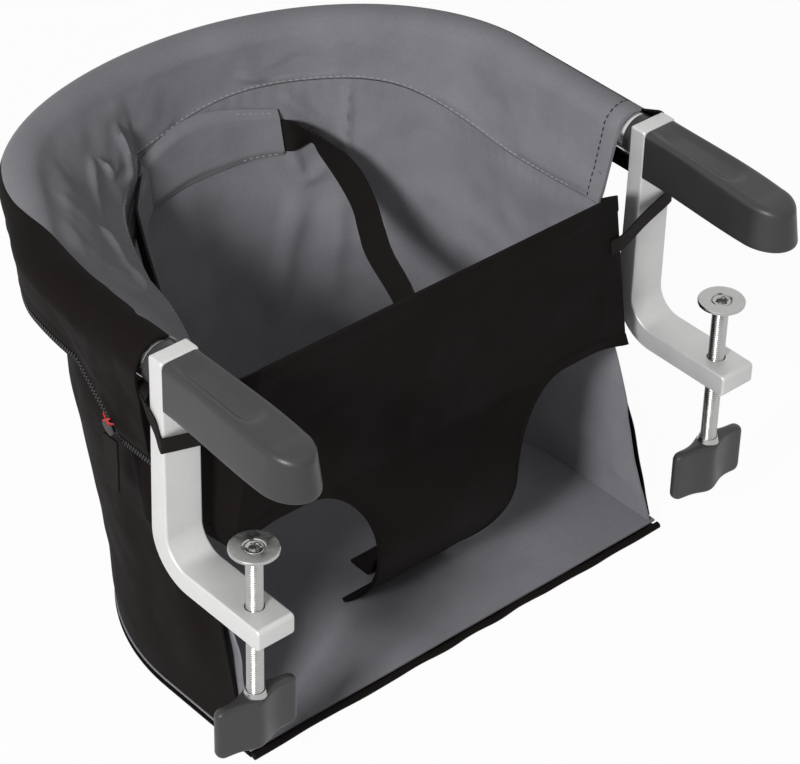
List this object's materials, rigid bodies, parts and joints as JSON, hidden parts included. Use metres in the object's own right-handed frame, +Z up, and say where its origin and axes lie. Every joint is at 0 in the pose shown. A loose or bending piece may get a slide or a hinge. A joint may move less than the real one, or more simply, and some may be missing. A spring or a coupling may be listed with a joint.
{
  "type": "hook-on table chair",
  "caption": "Fabric bucket seat hung from a bent tube, with screw clamps and rubber arms that grip a table edge; leg openings in front, lap harness inside.",
  "frame": {"origin": "midway between the clamps, where the table's upper face meets its edge", "axes": "+Z up, -Y over the table, +Y to the back of the seat, left clamp at -X"},
  "size_m": [0.4034, 0.3717, 0.2659],
  "materials": {
    "aluminium": "matte cast and drawn aluminium",
    "zinc": "bright zinc plate",
    "rubber": "dark grey moulded rubber",
    "dark_plastic": "dark grey moulded plastic",
    "black_plastic": "black moulded plastic",
    "grey_cloth": "grey woven polyester",
    "black_cloth": "black woven polyester",
    "webbing": "black ribbed webbing",
    "board": "plain plastic sheet"
  },
  "bodies": {
    "seat": {"left_bracket": "aluminium", "right_bracket": "aluminium", "frame_tube": "aluminium", "left_strap_rivet": "zinc", "right_strap_rivet": "zinc", "left_arm_pad": "rubber", "right_arm_pad": "rubber", "left_tube_bush": "black_plastic", "right_tube_bush": "black_plastic", "zip_chain": "black_plastic", "harness_buckle": "black_plastic", "left_buckle_tongue": "black_plastic", "right_buckle_tongue": "black_plastic", "rim_band": "grey_cloth", "left_liner": "grey_cloth", "back_liner": "grey_cloth", "right_liner": "grey_cloth", "base_liner": "grey_cloth", "harness_keeper": "grey_cloth", "outer_cuff": "black_cloth", "left_shell": "black_cloth", "back_shell": "black_cloth", "right_shell": "black_cloth", "front_panel": "black_cloth", "base_cover": "black_cloth", "base_piping": "black_cloth", "left_tension_strap": "webbing", "right_tension_strap": "webbing", "lap_strap": "webbing", "crotch_strap": "webbing", "base_board": "board"},
    "left_plate": {"left_pressure_plate": "zinc"},
    "left_screw": {"left_clamp_screw": "zinc", "left_knob_ferrule": "zinc", "left_wing_knob": "dark_plastic"},
    "right_plate": {"right_pressure_plate": "zinc"},
    "right_screw": {"right_clamp_screw": "zinc", "right_knob_ferrule": "zinc", "right_wing_knob": "dark_plastic"},
    "zip_slider": {"zip_slider": "zinc"},
    "zip_pull": {"zip_pull": "webbing"},
    "buckle_button": {"buckle_button": "dark_plastic"}
  },
  "joints": [
    {"name": "left_plate_lift", "type": "slide", "parent": "seat", "child": "left_plate", "axis": [0, 0, 1], "range_m": [-0.02, 0.04]},
    {"name": "left_knob_turn", "type": "hinge", "parent": "left_plate", "child": "left_screw", "pos_m": [-0.174, -0.0587, -0.0585], "axis": [0, 0, 1], "range_deg": [-4801, 9601]},
    {"name": "right_plate_lift", "type": "slide", "parent": "seat", "child": "right_plate", "axis": [0, 0, 1], "range_m": [-0.02, 0.04]},
    {"name": "right_knob_turn", "type": "hinge", "parent": "right_plate", "child": "right_screw", "pos_m": [0.174, -0.0587, -0.0585], "axis": [0, 0, 1], "range_deg": [-4801, 9601]},
    {"name": "zip_run", "type": "slide", "parent": "seat", "child": "zip_slider", "axis": [0, 0.7563, 0.6542], "range_m": [0, 0.033]},
    {"name": "pull_swing", "type": "hinge", "parent": "zip_slider", "child": "zip_pull", "pos_m": [-0.1834, 0.051, -0.04738], "axis": [0, 1, 0], "range_deg": [-8, 100]},
    {"name": "button_press", "type": "slide", "parent": "seat", "child": "buckle_button", "axis": [0, -1, 0], "range_m": [0, 0.0025], "stiffness_N_per_m": 400}
  ],
  "couplings": [
    {"joint": "left_knob_turn", "follows": "left_plate_lift", "rad_per_m": 4188.8},
    {"joint": "right_knob_turn", "follows": "right_plate_lift", "rad_per_m": 4188.8}
  ]
}
